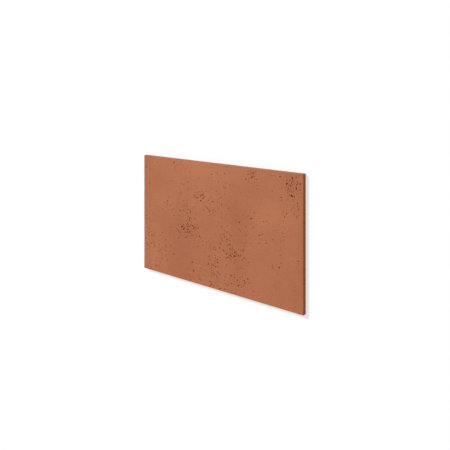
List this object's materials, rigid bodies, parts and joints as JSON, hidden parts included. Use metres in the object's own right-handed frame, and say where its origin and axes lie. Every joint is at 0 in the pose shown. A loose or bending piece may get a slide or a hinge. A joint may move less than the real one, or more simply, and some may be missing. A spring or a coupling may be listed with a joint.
{
  "type": "concrete wall panel",
  "caption": "Flat rectangular cast concrete wall panel with square edges, an eased arris and drifts of open air pores in its finished face.",
  "frame": {"origin": "centre of the back face, on the floor under the panel as it lies stored", "axes": "+X along the length, +Y along the width and up the wall when the panel is mounted, +Z out of the finished face"},
  "size_m": [1, 0.6, 0.02],
  "materials": {
    "concrete": "matt terracotta-coloured fair-faced concrete with open air pores"
  },
  "bodies": {
    "root": {"panel": "concrete"}
  },
  "joints": []
}
